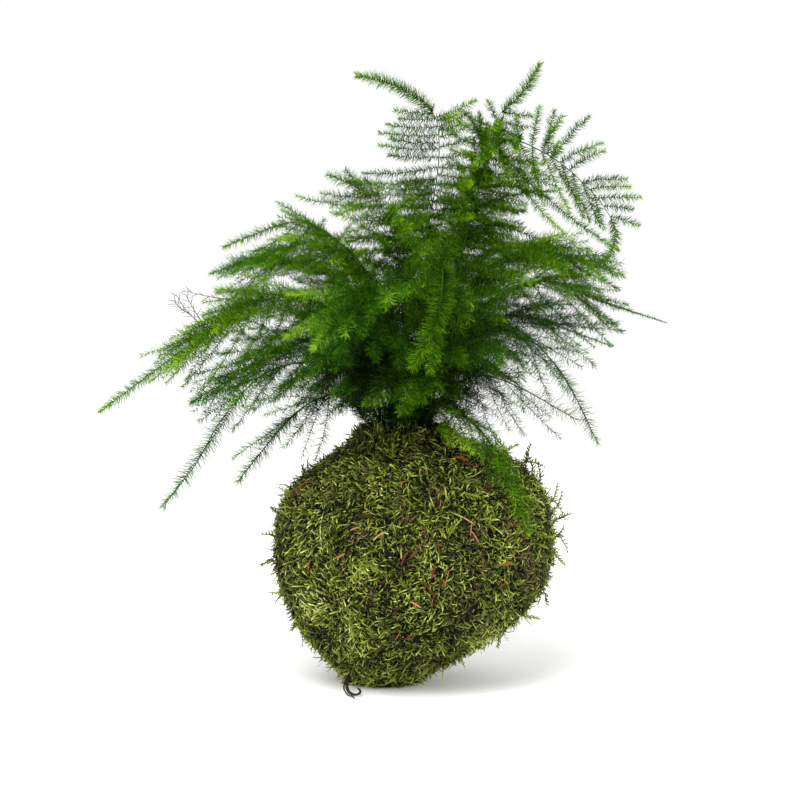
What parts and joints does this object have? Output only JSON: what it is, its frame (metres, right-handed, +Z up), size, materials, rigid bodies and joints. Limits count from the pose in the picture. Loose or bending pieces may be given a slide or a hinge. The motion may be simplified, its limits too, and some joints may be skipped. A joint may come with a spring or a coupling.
{
  "type": "kokedama moss ball plant",
  "caption": "Kokedama: a feathery asparagus fern with arching fronds growing from a soil ball wrapped in living moss, bound with clear thread, resting on a small flat spot.",
  "frame": {"origin": "middle of the small flat spot that the moss ball rests on", "axes": "+Z up out of the crown of stems, +X to the viewer's right and +Y away from the viewer who sees the frond that trails over the ball in front on the right"},
  "size_m": [0.2817, 0.2353, 0.3085],
  "materials": {
    "young_foliage": "satin",
    "mature_foliage": "satin",
    "moss": "matte",
    "soil": "matte",
    "nylon_thread": "gloss",
    "root": "matte"
  },
  "bodies": {
    "root": {"soil_ball": "soil", "moss_cover": "moss", "binding_thread": "nylon_thread", "root_tip": "root", "frond_tall_back_left": "young_foliage", "frond_tall_back_middle": "young_foliage", "frond_arching_right": "young_foliage", "frond_right_shoulder": "mature_foliage", "frond_right_long": "mature_foliage", "frond_right_middle": "mature_foliage", "frond_right_dark": "mature_foliage", "frond_right_low": "mature_foliage", "frond_over_ball": "mature_foliage", "frond_front_droop": "young_foliage", "frond_front_short": "mature_foliage", "frond_front_left": "mature_foliage", "frond_left_long": "young_foliage", "frond_left_low_far": "mature_foliage", "frond_left_low_near": "mature_foliage", "frond_left_middle": "mature_foliage", "frond_left_upper": "mature_foliage", "frond_left_top": "young_foliage", "frond_top_left_middle": "young_foliage", "frond_back_right": "mature_foliage", "frond_back_left": "mature_foliage", "frond_back_middle": "mature_foliage"}
  },
  "joints": []
}
